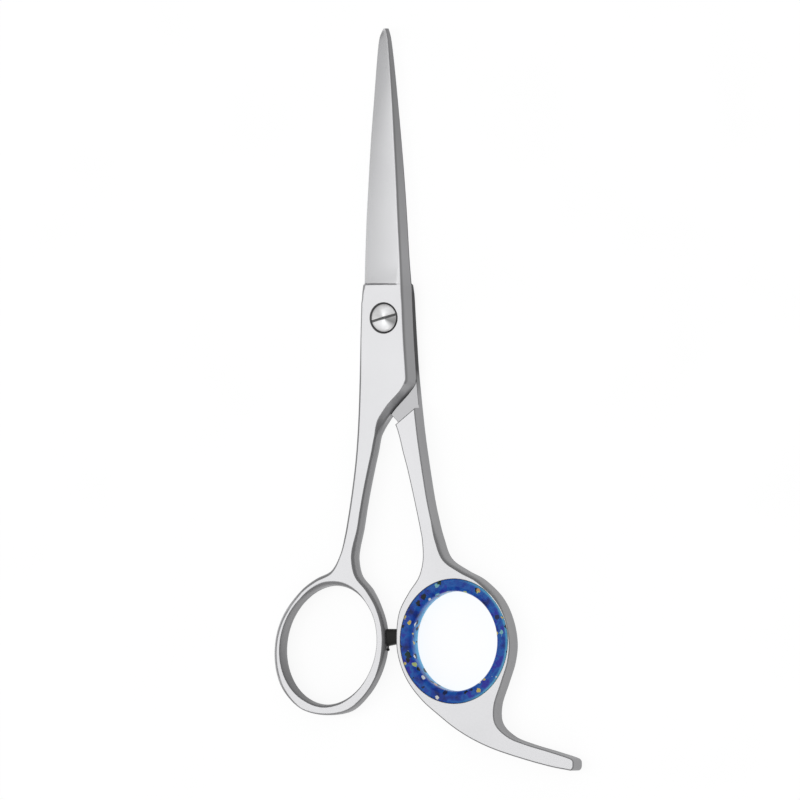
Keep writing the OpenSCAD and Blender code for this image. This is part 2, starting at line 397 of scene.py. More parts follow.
def side_finish_and_painted_shade(value, foot_value, crease=0.0, low=None):
    """Finish and painted shade of the rows that side_rows makes: painted darker at the crease by the face,
    and painted to the low tone above the foot.
    """
    lead = [FACE + (value - FACE) * (k / EDGE_ROWS) for k in range(EDGE_ROWS)]
    middle = np.full(SIDE_ROWS, float(value))
    middle[0] -= crease
    middle[1] -= crease / 2
    if low is not None:
        middle[-1] = low
        middle[-2] = low + (value - low) * 0.4
        middle[-3] = low + (value - low) * 0.75
    return np.array(lead + list(middle) + [middle[-1], foot_value, foot_value])


def lower_rows(top, foot, side):
    """The rest of a full-thickness side, from the joint plane down to the back face."""
    mirrored = side_rows(top, foot, side, 0, 0.02)[:-2]
    rows = mirrored[::-1]
    rows[:, 1] = foot + top - rows[:, 1]
    return rows


def lower_finish_and_painted_shade(value):
    """Finish and painted shade of the rows that lower_rows makes, without its first."""
    return side_finish_and_painted_shade(value, value)[:-2][::-1][1:]


def offset_rows(points, outward, rows):
    """Places (inset, z) rows at the points of an outline, each inset against its outward direction."""
    out = np.zeros((len(points), rows.shape[1], 3))
    out[:, :, 0] = points[:, None, 0] - outward[:, None, 0] * rows[:, :, 0]
    out[:, :, 1] = points[:, None, 1] - outward[:, None, 1] * rows[:, :, 0]
    out[:, :, 2] = rows[:, :, 1]
    return out


def outward_normals(points, closed):
    """Unit normals on the right of the direction of travel."""
    if closed:
        tangent = np.roll(points, -1, 0) - np.roll(points, 1, 0)
    else:
        tangent = np.gradient(points, axis=0)
    tangent /= np.linalg.norm(tangent, axis=1)[:, None]
    return np.column_stack([tangent[:, 1], -tangent[:, 0]])


def hole_ring(shape, points, front_sides, back_sides):
    """A hole through the full thickness, its points clockwise. Returns its front and back loops."""
    outward = outward_normals(points, True)
    upper = np.array([side_rows(BODY_T, FRONT_Z, s, 0, FOOT_SPAN) for s in front_sides])
    lower = np.array([lower_rows(FRONT_Z, 0, s)[1:] for s in back_sides])
    finish_and_painted_light = [np.concatenate([side_finish_and_painted_shade(f[5], f[5]), lower_finish_and_painted_shade(b[5])])
              for f, b in zip(front_sides, back_sides)]
    index = shape.rows(offset_rows(points, outward, np.concatenate([upper, lower], 1)), finish_and_painted_light)
    shape.wall(index, True)
    return index[:, 0], index[:, -1]


def round_hole(shape, profile, segments=96):
    """A turned hole on the pivot axis, given as (radius, z) from the top down."""
    angle = -2 * math.pi * np.arange(segments) / segments
    points = [[(r * math.cos(a), r * math.sin(a), z) for r, z in profile] for a in angle]
    # Painted shade: the hole's walls between its top and bottom rows take the dark GAP tone
    finish_and_painted_light = [FACE] + [GAP] * (len(profile) - 2) + [FACE]
    index = shape.rows(points, [finish_and_painted_light] * segments)
    shape.wall(index, True)
    return index[:, 0], index[:, -1]


def oval(center, radii, lean=0.0, steps=144):
    """Clockwise oval, so that the solid around it is on its left."""
    a = -2 * math.pi * np.arange(steps) / steps
    x, y = radii[0] * np.cos(a), radii[1] * np.sin(a)
    return np.column_stack([
        center[0] + x * math.cos(lean) - y * math.sin(lean),
        center[1] + x * math.sin(lean) + y * math.cos(lean),
    ])


def build_half(outline, blade, step_line, holes, pivot_profile):
    """One half with its blade, its joint layer on top. The outline runs with the solid on its left."""
    shape = Shape()
    section = catmull(blade, 8)

    def blade_at(y):
        return [float(np.interp(y, section[:, 0], section[:, k])) for k in range(1, 5)]

    tip_y = blade[-1][0]
    stations = np.concatenate([
        np.linspace(STATION_Y, 7.8, 6),
        np.arange(7.9, 10, 0.07),
        np.linspace(10.3, 66, 44),
        np.linspace(67, tip_y - 0.25, 12),
        [tip_y - 0.12, tip_y - 0.04, tip_y],
    ])
    body = catmull([p[:2] for p in outline], CURVE_STEPS)
    front = linear([SIDES[p[2]] for p in outline], CURVE_STEPS)
    back = linear([SIDES[p[3]] for p in outline], CURVE_STEPS)
    normals = outward_normals(body, False)
    near = 8 * CURVE_STEPS
    left_body, right_body = body[:near][::-1], body[-near:]

    def ground_z(share, y, top_left, top_right):
        """Height of the top at a share of the width: the joint's face, the step and the ground face."""
        crown = CROWN * min(1, (tip_y - y) / CROWN_RUN) * 4 * share * (1 - share)
        level = LEVEL_SHARE + (1 - LEVEL_SHARE) * smooth((y - RICASSO_Y) / 5)
        ground = top_left + (top_right - top_left) * min(1, share / level) + crown
        return BODY_T + (ground - BODY_T) * smooth((y - RICASSO_Y) / RICASSO_RUN)

    left, right, tops = [], [], []
    joint_tone = front[0][5]
    for y in stations:
        edge_x, ridge_x, foot_x, height = blade_at(y)
        if y < OUTLINE_END:
            edge_x = np.interp(y, left_body[:, 1], left_body[:, 0])
            foot_x = np.interp(y, right_body[:, 1], right_body[:, 0])
        land = FRONT_Z + EDGE_SHARE * height
        top_right = FRONT_Z + height
        z_left = ground_z(0, y, land, top_right)
        z_right = ground_z(1, y, land, top_right)
        on_blade = smooth((y - RICASSO_Y) / RICASSO_RUN)
        share = np.interp(y, [STATION_Y - 2, 6, RICASSO_Y], [0.45, 0.6, 1])
        corner = RICASSO_CORNER * share * (1 - on_blade) + 0.02 * on_blade
        # Side tones along the blade, painted shade as on every side: the left edge goes from the joint's side
        # tone to the face's past the ricasso, and the spine is painted darker towards the tip
        tone = joint_tone + (FACE - joint_tone) * on_blade
        left.append((edge_x, y, z_left, (corner, 1.5 * corner, 0, 0.1, 0.02, tone, joint_tone)))
        run = foot_x - ridge_x
        spine = SPINE - 0.12 * smooth((y - 25) / 35)
        right.append((foot_x, y, z_right, (run, DEEP, 0.5, 0.5, min(0.13, 0.25 * run), spine, spine)))
        tops.append((land, top_right))

    keep = [i for i in range(len(body)) if body[i, 1] < STATION_Y - 0.3]
    points, outward, top, up, down, foot_in = [], [], [], [], [], []

    def push(p, n, z, u, d, f):
        points.append(p)
        outward.append(n)
        top.append(z)
        up.append(u)
        down.append(d)
        foot_in.append(f)

    for x, y, z, s in left[::-1]:
        push((x, y), (-1, 0), z, s, s, min(FOOT_ROUND, 0.02) if y > RICASSO_Y else FOOT_ROUND)
    (x0, y0), (x1, y1) = step_line

    def beyond(p):
        """Above 0 on the blade's side of the step."""
        return (x1 - x0) * (p[1] - y0) - (y1 - y0) * (p[0] - x0)

    line = np.array([x1 - x0, y1 - y0], float)
    line /= np.linalg.norm(line)
    for order, i in enumerate(keep):
        p, n = body[i], normals[i]
        if order:
            j = keep[order - 1]
            before = beyond(body[j])
            here = beyond(p)
            if before * here < 0:
                t = before / (before - here)
                cross = body[j] + (p - body[j]) * t
                nn = normals[j] + (n - normals[j]) * t
                nn /= np.linalg.norm(nn)
                if np.linalg.norm(np.array(points[-1]) - cross) < MERGE:
                    for kept in (points, outward, top, up, down, foot_in):
                        kept.pop()
                push(tuple(cross), tuple(line / (line @ nn)), BODY_T, front[j] + (front[i] - front[j]) * t,
                     back[j] + (back[i] - back[j]) * t, None)
                crossing = cross
        if order and foot_in[-1] is None and np.linalg.norm(p - crossing) < MERGE:
            continue
        push(tuple(p), tuple(n), BODY_T, front[i], back[i], FOOT_ROUND if beyond(p) > 0 else 0)
    for x, y, z, s in right:
        push((x, y), (1, 0), z, s, s, min(FOOT_ROUND, 0.02) if y > RICASSO_Y + 30 else FOOT_ROUND)

    crossings = [i for i, f in enumerate(foot_in) if f is None]
    first, last = crossings[0], crossings[-1]
    upper, finish_and_painted_light = [], []
    for i in range(len(points)):
        full = first <= i <= last
        inset = 0 if full else foot_in[i]
        span = FOOT_SPAN if full else (0.08 if inset > 0.05 else 0.05)
        upper.append(side_rows(top[i], FRONT_Z, up[i], inset, span))
        # Painted shade: a tall facet is darker at its crease, and a foot that stands close over the other
        # half takes the contact tone
        crease = CREASE_SHADE if up[i][1] > FACET_DROP else 0
        finish_and_painted_light.append(side_finish_and_painted_shade(up[i][5], up[i][5] if full or inset < 0.05 else CONTACT_SHADE, crease, up[i][6]))
    points, outward = np.array(points), np.array(outward)
    index = shape.rows(offset_rows(points, outward, np.array(upper)), finish_and_painted_light)
    shape.wall(index, False)
    lower = np.array([lower_rows(FRONT_Z, 0, down[i])[1:] for i in range(first, last + 1)])
    lower_points = offset_rows(points[first:last + 1], outward[first:last + 1], lower)
    into = np.array([line[1], -line[0]])
    for column, ahead in ((0, 1), (-1, -2)):
        along = points[first:last + 1][ahead] - points[first:last + 1][column]
        along = along / (along @ into)
        depth = np.clip(STEP_ROUND - lower_points[column, :, 2], 0, STEP_ROUND)
        shift = STEP_ROUND - np.sqrt(STEP_ROUND**2 - depth**2)
        lower_points[column, :, :2] += shift[:, None] * along
    finish_and_painted_light = [lower_finish_and_painted_shade(down[i][5]) for i in range(first, last + 1)]
    low_index = shape.rows(lower_points, finish_and_painted_light)
    low_index = np.column_stack([index[first:last + 1, -1], low_index])
    shape.wall(low_index, False)
    for k in range(low_index.shape[1] - 1):
        a, b = low_index[0], low_index[-1]
        shape.face((a[k], b[k], b[k + 1], a[k + 1]))

    # The top of the blade and of the joint's end, station by station
    count = len(stations)
    total = len(points)
    grid = []
    shares = np.linspace(0, 1, GRID_COLUMNS + 2)[1:-1] ** 0.9
    for j, y in enumerate(stations):
        a, b = index[count - 1 - j, 0], index[total - count + j, 0]
        pa, pb = np.array(shape.verts[a]), np.array(shape.verts[b])
        row = []
        for share in shares:
            p = pa + (pb - pa) * share
            row.append((p[0], p[1], ground_z(share, y, *tops[j]) if j else BODY_T))
        grid.append([a] + shape.add(row) + [b])
    for j in range(count - 1):
        for m in range(len(grid[0]) - 1):
            shape.face((grid[j][m], grid[j][m + 1], grid[j + 1][m + 1], grid[j + 1][m]))
    shape.fill([list(index[0]) + list(index[-1][::-1]) + grid[-1][1:-1][::-1]], (0, 1, 0))

    # The faces: front, joint side, back and step. The joint side takes the JOINT tone, painted shade darker
    # than the front
    top_holes, flat_holes = round_hole(shape, pivot_profile)
    front_loops, back_loops = [], []
    for hole in holes:
        hole_front, hole_back = hole_ring(shape, *hole)
        front_loops.append(list(hole_front))
        back_loops.append(list(hole_back))
    edge = list(index[count - 1:total - count + 1, 0])
    shape.fill([edge + grid[0][1:-1][::-1], list(top_holes)] + front_loops, (0, 0, 1))
    joint_side = list(index[last:, -1]) + list(index[:first + 1, -1])
    shape.fill([joint_side, list(flat_holes)], (0, 0, -1), JOINT)
    shape.fill([list(low_index[:, -1])] + back_loops, (0, 0, -1))
    return shape


def by_angle(points, center, table):
    """Side profiles round a ring, from a table of (degrees counterclockwise from +X, side)."""
    angle = np.degrees(np.arctan2(points[:, 1] - center[1], points[:, 0] - center[0])) % 360
    degrees = [row[0] for row in table]
    sides = np.array([row[1] for row in table], float)
    return np.column_stack([np.interp(angle, degrees, sides[:, k]) for k in range(sides.shape[1])])


def make_front_half():
    ring = oval(RING_CENTER, RING_HOLE, RING_LEAN)
    # Sides round the ring's hole, set by angle, with tones that are painted shade: darkest from 215 to 245
    # degrees, front and back
    wide = (1.1, 2.0, 0, 0.2, 0.1, 0.58)
    narrow = (0.45, 1.9, 0, 0.2, 0.08, SIDE)
    slim = (0.32, 1.6, 0, 0.2, 0.08, 0.42)
    dark = (0.32, 1.6, 0, 0.2, 0.08, 0.15)
    low = (0.7, 1.9, 0, 0.2, 0.08, 0.42)
    inner = by_angle(ring, RING_CENTER, [
        (0, narrow), (45, narrow), (75, wide), (95, wide), (125, slim), (160, slim), (215, dark), (245, dark),
        (265, low), (285, low), (330, narrow), (360, narrow),
    ])
    back = (0.65, 2.0, 0, 0.1, 0.1, 0.35)
    back_left = (1.0, 2.0, 0, 0.1, 0.1, 0.35)
    back_dark = (0.9, 2.0, 0, 0.1, 0.1, 0.15)
    under = by_angle(ring, RING_CENTER, [
        (0, back), (120, back), (150, back_left), (190, back_left), (215, back_dark), (250, back_dark),
        (280, back), (360, back),
    ])
    pivot = [
        (RECESS_R + 0.08, BODY_T), (RECESS_R + 0.02, BODY_T - 0.02), (RECESS_R, BODY_T - 0.08),
        (RECESS_NECK, BODY_T - 0.35), (RECESS_NECK, RECESS_FLOOR), (BORE_R, RECESS_FLOOR), (BORE_R, FRONT_Z),
    ]
    shape = build_half(FRONT_OUTLINE, BLADE, FRONT_STEP, [(ring, inner, under)], pivot)
    return shape.mesh_object("front_half_steel")


def make_rear_half():
    outline = [(-x, y, front, back) for x, y, front, back in REAR_OUTLINE]
    blade = [(y, -(foot - BLADE_TUCK), -(edge + BLADE_TUCK + foot - ridge), -(edge + BLADE_TUCK), height)
             for y, edge, ridge, foot, height in BLADE]
    ring = oval((-INSERT_CENTER[0], INSERT_CENTER[1]), INSERT_HOLE)
    seat = np.array([SIDES["fine"]] * len(ring)) * [0.5, 0.5, 1, 1, 0.5, 1, 1]
    pivot = [
        (BORE_R + 0.1, BODY_T), (BORE_R + 0.03, BODY_T - 0.03), (BORE_R, BODY_T - 0.1),
        (BORE_R, FRONT_Z + PIT_DEPTH), (PIT_R, FRONT_Z + PIT_DEPTH), (PIT_R, FRONT_Z),
    ]
    shape = build_half(outline, blade, REAR_STEP, [(ring, seat, seat)], pivot)
    return shape.turned_over().mesh_object("rear_half_steel")


def arc(center, radius, start, end, count):
    """Points on an arc, angles in degrees."""
    return [(center[0] + radius * math.cos(math.radians(a)), center[1] + radius * math.sin(math.radians(a)))
            for a in np.linspace(start, end, count)]


def make_insert():
    """A rounded ring of resin, its outer side against the steel. Its vertex values are painted light: the
    resin is painted paler on its inner wall and on its outer rim towards +X.
    """
    points = oval(INSERT_CENTER, INSERT_HOLE)[::-1]
    outward = outward_normals(points, True)
    outer_r, inner_r = 0.3, 1.15
    shape = Shape()
    rows, glow = [], []
    for x, y in outward:
        wall = INSERT_WALL + (0.2 * x if x > 0 else 0.15 * x)
        section = (
            arc((outer_r, outer_r), outer_r, 270, 180, 5)
            + arc((outer_r, INSERT_TOP - outer_r), outer_r, 180, 90, 5)
            + [(outer_r + 0.35, INSERT_TOP), (outer_r + 0.7, INSERT_TOP)]
            + arc((wall - inner_r, INSERT_TOP - inner_r), inner_r, 90, 0, 12)
            + arc((wall - inner_r, inner_r), inner_r, 0, -90, 12)
        )
        rows.append(section)
        # Painted light: a glow painted on the inner wall all round, and on the outer side towards +X
        rim = smooth((x + 0.1) / 0.8)
        inner = [smooth((2.9 - z) / 1.6) * smooth((z - 0.05) / 0.5) * (inset > 1.2) for inset, z in section]
        outer = [smooth(1 - inset / 0.75) * smooth(z - 1) * rim for inset, z in section]
        glow.append([max(pair) for pair in zip(inner, outer)])
    index = shape.rows(offset_rows(points, outward, np.array(rows)), glow)
    closed = np.column_stack([index, index[:, 0]])
    for i in range(len(closed)):
        a, b = closed[i], closed[(i + 1) % len(closed)]
        for k in range(len(a) - 1):
            shape.face((a[k], b[k], b[k + 1], a[k + 1]))
    return shape.mesh_object("finger_insert_resin")


def turned(profile, segments):
    """A solid turned on the Z axis, from (radius, z) points running up the outside."""
    shape = Shape()
    rings = []
    for r, z in profile:
        if r < 1e-6:
            rings.append(shape.add([(0, 0, z)]))
        else:
            angle = 2 * math.pi * np.arange(segments) / segments
            rings.append(shape.add([(r * math.cos(a), r * math.sin(a), z) for a in angle]))
    for low, high in zip(rings, rings[1:]):
        for i in range(segments):
            j = (i + 1) % segments
            if len(low) == 1:
                shape.face((low[0], high[j], high[i]))
            elif len(high) == 1:
                shape.face((low[i], low[j], high[0]))
            else:
                shape.face((low[i], low[j], high[j], high[i]))
    return shape


def raw_object(name, shape):
    mesh = bpy.data.meshes.new(name)
    mesh.from_pydata([tuple(c * MM for c in v) for v in shape.verts], [], shape.faces)
    piece = bpy.data.objects.new(name, mesh)
    bpy.context.scene.collection.objects.link(piece)
    return piece


def combine(piece, other, operation):
    """Joins or cuts piece with other, then removes other."""
    boolean = piece.modifiers.new("combine", "BOOLEAN")
    boolean.operation = operation
    boolean.solver = "EXACT"
    boolean.object = other
    bpy.context.view_layer.update()
    result = bpy.data.meshes.new_from_object(piece.evaluated_get(bpy.context.evaluated_depsgraph_get()))
    piece.modifiers.clear()
    piece.data = result
    bpy.data.objects.remove(other)


def box_shape(low, high, turn=0.0):
    shape = Shape()
    c, s = math.cos(turn), math.sin(turn)
    for z in (low[2], high[2]):
        for x, y in ((low[0], low[1]), (high[0], low[1]), (high[0], high[1]), (low[0], high[1])):
            shape.add([(x * c - y * s, x * s + y * c, z)])
    for f in ((3, 2, 1, 0), (4, 5, 6, 7), (0, 1, 5, 4), (1, 2, 6, 5), (2, 3, 7, 6), (3, 0, 4, 7)):
        shape.face(f)
    return shape


def finish_edges(piece, width, angle):
    """Rounds the edges sharper than an angle in degrees and gives weighted normals."""
    bevel = piece.modifiers.new("bevel", "BEVEL")
    bevel.width = width * MM
    bevel.segments = 2
    bevel.limit_method = "ANGLE"
    bevel.angle_limit = math.radians(angle)
    weighted = piece.modifiers.new("weighted", "WEIGHTED_NORMAL")
    weighted.keep_sharp = True
    for polygon in piece.data.polygons:
        polygon.use_smooth = True


def make_screw():
    radius = HEAD_D / 2
    dome_r = (radius**2 + DOME_H**2) / (2 * DOME_H)
    rim_z = HEAD_TOP - DOME_H
    profile = [
        (0, 0), (SHANK_D / 2 - 0.15, 0), (SHANK_D / 2, 0.15), (SHANK_D / 2, HEAD_BASE),
        (radius - 0.05, HEAD_BASE), (radius, HEAD_BASE + 0.05), (radius, rim_z - 0.12),
        (radius - 0.04, rim_z - 0.04), (radius - 0.12, rim_z + 0.005),
    ]
    for r in np.linspace(radius - 0.25, 0, 12):
        profile.append((r, HEAD_TOP - dome_r + math.sqrt(dome_r**2 - r**2)))
    piece = raw_object("pivot_screw_steel", turned(profile, 128))
    cutter = raw_object("cutter", box_shape((-radius - 1, -SLOT_W / 2, HEAD_TOP - SLOT_DEPTH),
                                            (radius + 1, SLOT_W / 2, HEAD_TOP + 1), SLOT_TURN))
    combine(piece, cutter, "DIFFERENCE")
    finish_edges(piece, 0.05, 35)
    return piece


def make_bumper():
    """A tapered rubber stop with flat sides, its moulding nub and the stem that plugs it into the ring."""
    rows = []
    left_x, right_x = BUMPER_X
    for x in np.linspace(left_x, right_x - BUMPER_ROUND, 14):
        taper = BUMPER_TAPER * (x - left_x) / (right_x - left_x)
        rows.append((x, BUMPER_R - taper, taper))
    last_r, last_c = rows[-1][1], rows[-1][2]
    for a in np.linspace(15, 90, 6):
        c, s = math.cos(math.radians(a)), math.sin(math.radians(a))
        rows.append((right_x - BUMPER_ROUND * (1 - s), last_r - BUMPER_ROUND * (1 - c), last_c))
    shape = Shape()
    segments = 64
    rings = []
    for x, r, shift in rows:
        ring = []
        for a in 2 * math.pi * np.arange(segments) / segments:
            side = BUMPER_FLAT * math.tanh(1.6 * r * math.sin(a) / BUMPER_FLAT)
            ring.append((x, BUMPER_Y + shift + r * math.cos(a), BUMPER_Z + side))
        rings.append(shape.add(ring))
    for low, high in zip(rings, rings[1:]):
        for i in range(segments):
            j = (i + 1) % segments
            shape.face((low[i], low[j], high[j], high[i]))
    shape.face(rings[0][::-1])
    shape.face(rings[-1])
    piece = raw_object("bumper_rubber", shape)

    ball_r, neck_r, reach = 0.36, 0.18, 0.75
    profile = [(0, -0.6), (neck_r, -0.6), (neck_r, reach - ball_r * 0.95)]
    profile += [(ball_r * math.cos(a), reach + ball_r * math.sin(a)) for a in np.linspace(-1.0, 1.4, 12)]
    profile += [(0, reach + ball_r)]
    nub = turned(profile, 32)
    nub.verts = [(NUB_X + x, BUMPER_Y - 2.1 - z, BUMPER_Z + 0.8 + y) for x, y, z in nub.verts]
    combine(piece, raw_object("nub", nub), "UNION")

    stem = turned([(0, 0), (STEM_R - 0.1, 0), (STEM_R, 0.1), (STEM_R, 1.5), (0, 1.5)], 48)
    stem.verts = [(STEM_X + z, BUMPER_Y + y, BUMPER_Z - x) for x, y, z in stem.verts]
    combine(piece, raw_object("stem", stem), "UNION")
    finish_edges(piece, 0.06, 40)
    return piece


# Materials


class Nodes:
    """Short hand for building one material's node tree."""

    def __init__(self, name):
        self.material = bpy.data.materials.new(name)
        self.material.use_nodes = True
        self.tree = self.material.node_tree
        self.shader = self.tree.nodes["Principled BSDF"]

    def new(self, kind, **values):
        node = self.tree.nodes.new(kind)
        for key, value in values.items():
            if hasattr(node, key) and key not in node.inputs:
                setattr(node, key, value)
            else:
                node.inputs[key.replace("_", " ") if key not in node.inputs else key].default_value = value
        return node

    def link(self, out, to):
        self.tree.links.new(out, to)

    def set(self, **values):
        for key, value in values.items():
            self.shader.inputs[key.replace("_", " ")].default_value = value

    def ramp(self, source, stops, interpolation="LINEAR"):
        node = self.tree.nodes.new("ShaderNodeValToRGB")
        node.color_ramp.interpolation = interpolation
        while len(node.color_ramp.elements) > 1:
            node.color_ramp.elements.remove(node.color_ramp.elements[-1])
        node.color_ramp.elements[0].position = stops[0][0]
        node.color_ramp.elements[0].color = (*stops[0][1], 1)
        for position, color in stops[1:]:
            element = node.color_ramp.elements.new(position)
            element.color = (*color, 1)
        self.link(source, node.inputs["Fac"])
        return node.outputs["Color"]

    def coordinates(self, scale=(1, 1, 1)):
        coordinate = self.tree.nodes.new("ShaderNodeTexCoord")
        mapping = self.tree.nodes.new("ShaderNodeMapping")
        mapping.inputs["Scale"].default_value = scale
        self.link(coordinate.outputs["Object"], mapping.inputs["Vector"])
        return mapping.outputs["Vector"]

    def noise(self, vector, scale, detail=3.0, roughness=0.5):
        node = self.new("ShaderNodeTexNoise", Scale=scale, Detail=detail, Roughness=roughness)
        self.link(vector, node.inputs["Vector"])
        return node.outputs["Fac"]

    def span(self, source, low, high, source_low=0.0, source_high=1.0):
        node = self.new("ShaderNodeMapRange")
        node.inputs["From Min"].default_value = source_low
        node.inputs["From Max"].default_value = source_high
        node.inputs["To Min"].default_value = low
        node.inputs["To Max"].default_value = high
        self.link(source, node.inputs["Value"])
        return node.outputs["Result"]

    def mix(self, factor, first, second, blend="MIX"):
        node = self.new("ShaderNodeMix")
        node.data_type = "RGBA"
        node.blend_type = blend
        if factor is None:
            node.inputs["Factor"].default_value = 1
        else:
            self.link(factor, node.inputs["Factor"])
        self.link(first, node.inputs[6])
        self.link(second, node.inputs[7])
        return node.outputs[2]

    def bump(self, height, strength, distance):
        node = self.new("ShaderNodeBump", Strength=strength, Distance=distance)
        self.link(height, node.inputs["Height"])
        self.link(node.outputs["Normal"], self.shader.inputs["Normal"])


def satin_steel():
    """Satin steel: a little uneven, with very fine polishing marks, and a base tone per vertex that paints
    light and shade on its faces, sides, gaps and creases.
    """
    n = Nodes("satin_steel")
    n.set(Metallic=1.0)
    broad = n.noise(n.coordinates(), 60, 3)
    attribute = n.tree.nodes.new("ShaderNodeAttribute")
    attribute.attribute_name = "finish_and_painted_light"
    # Base tone for each finish level, painted light and shade: darker down the sides and into gaps, lighter
    # on the shoulder facet
    tones = [
        (0.0, 0.05), (GAP, 0.22), (SIDE, 0.36), (SPINE, 0.52), (SHOULDER, 0.72), (0.85, 0.6),
        (JOINT, 0.42), (FACE, 0.6),
    ]
    finish_and_painted_light = n.ramp(attribute.outputs["Fac"], [(place, (tone, tone, tone * 1.02)) for place, tone in tones])
    uneven = n.ramp(broad, [(0.3, (0.96, 0.96, 0.96)), (0.7, (1, 1, 1))])
    tone = n.mix(None, finish_and_painted_light, uneven, "MULTIPLY")
    n.link(tone, n.shader.inputs["Base Color"])
    marks = n.noise(n.coordinates((900, 6000, 900)), 1.0, 4, 0.6)
    polish = n.span(attribute.outputs["Fac"], 0.55, 0.25, 0.8, 0.95)
    grain = n.new("ShaderNodeMath", operation="MULTIPLY_ADD")
    n.link(marks, grain.inputs[0])
    grain.inputs[1].default_value = 0.03
    n.link(polish, grain.inputs[2])
    n.link(grain.outputs[0], n.shader.inputs["Roughness"])
    n.bump(marks, 0.012, 0.00002)
    return n.material


def turned_steel():
    """The screw: steel with the rings that a lathe leaves, a painted sheen on its head and painted shade in
    its slot.
    """
    n = Nodes("turned_steel")
    n.set(Metallic=1.0, Anisotropic=0.85)
    bright = n.ramp(n.noise(n.coordinates(), 300, 2), [(0.3, (0.93, 0.93, 0.94)), (0.7, (1, 1, 1))])
    split = n.tree.nodes.new("ShaderNodeSeparateXYZ")
    n.link(n.coordinates(), split.inputs["Vector"])
    # Painted shade: dark from the slot's floor down, fading up to the head's rim
    floor_z = (HEAD_TOP - SLOT_DEPTH + 0.05) * MM
    shown = n.span(split.outputs["Z"], 0.0, 1.0, floor_z, floor_z + 0.2 * MM)
    dark = n.ramp(shown, [(0.0, (0.2, 0.2, 0.2)), (1.0, (1, 1, 1))])
    around = n.new("ShaderNodeTexGradient")
    around.gradient_type = "RADIAL"
    n.link(n.coordinates(), around.inputs["Vector"])
    # Painted sheen: a fan of light painted into the head's colour, by the share of a turn from its left side
    # counterclockwise
    turns = [
        (0, 0.8), (0.125, 0.95), (0.25, 1), (0.34, 1), (0.39, 0.7), (0.44, 0.33), (0.5, 0.42), (0.56, 0.75),
        (0.63, 0.9), (0.72, 1), (0.78, 1), (0.86, 0.76), (0.95, 0.74), (1, 0.8),
    ]
    sheen = n.ramp(around.outputs["Fac"], [(place, (tone, tone, tone)) for place, tone in turns])
    bright = n.mix(None, bright, sheen, "MULTIPLY")
    n.link(n.mix(None, bright, dark, "MULTIPLY"), n.shader.inputs["Base Color"])
    tangent = n.new("ShaderNodeTangent")
    tangent.direction_type = "RADIAL"
    tangent.axis = "Z"
    n.link(tangent.outputs["Tangent"], n.shader.inputs["Tangent"])
    wave = n.new("ShaderNodeTexWave")
    wave.wave_type = "RINGS"
    wave.rings_direction = "Z"
    wave.inputs["Scale"].default_value = 1500
    wave.inputs["Distortion"].default_value = 1.5
    n.link(n.coordinates(), wave.inputs["Vector"])
    n.link(n.span(wave.outputs["Fac"], 0.3, 0.4), n.shader.inputs["Roughness"])
    n.bump(wave.outputs["Fac"], 0.25, 0.00001)
    return n.material


def washer_steel():
    n = Nodes("washer_steel")
    n.set(Metallic=1.0)
    n.link(n.ramp(n.noise(n.coordinates(), 400, 4), [(0.3, (0.42, 0.42, 0.44)), (0.7, (0.5, 0.5, 0.52))]),
           n.shader.inputs["Base Color"])
    n.link(n.span(n.noise(n.coordinates(), 900, 2), 0.3, 0.45), n.shader.inputs["Roughness"])
    return n.material


def glide_plastic():
    n = Nodes("glide_plastic")
    n.link(n.ramp(n.noise(n.coordinates(), 500, 3), [(0.3, (0.78, 0.77, 0.72)), (0.7, (0.86, 0.85, 0.8))]),
           n.shader.inputs["Base Color"])
    n.link(n.span(n.noise(n.coordinates(), 1500, 2), 0.35, 0.5), n.shader.inputs["Roughness"])
    return n.material


def black_rubber():
    n = Nodes("black_rubber")
    shades = [(0.3, (0.004, 0.004, 0.004)), (0.7, (0.009, 0.009, 0.009))]
    n.link(n.ramp(n.noise(n.coordinates(), 900, 4), shades), n.shader.inputs["Base Color"])
    grain = n.noise(n.coordinates(), 6000, 3)
    n.link(n.span(grain, 0.5, 0.7), n.shader.inputs["Roughness"])
    n.bump(grain, 0.3, 0.00003)
    return n.material


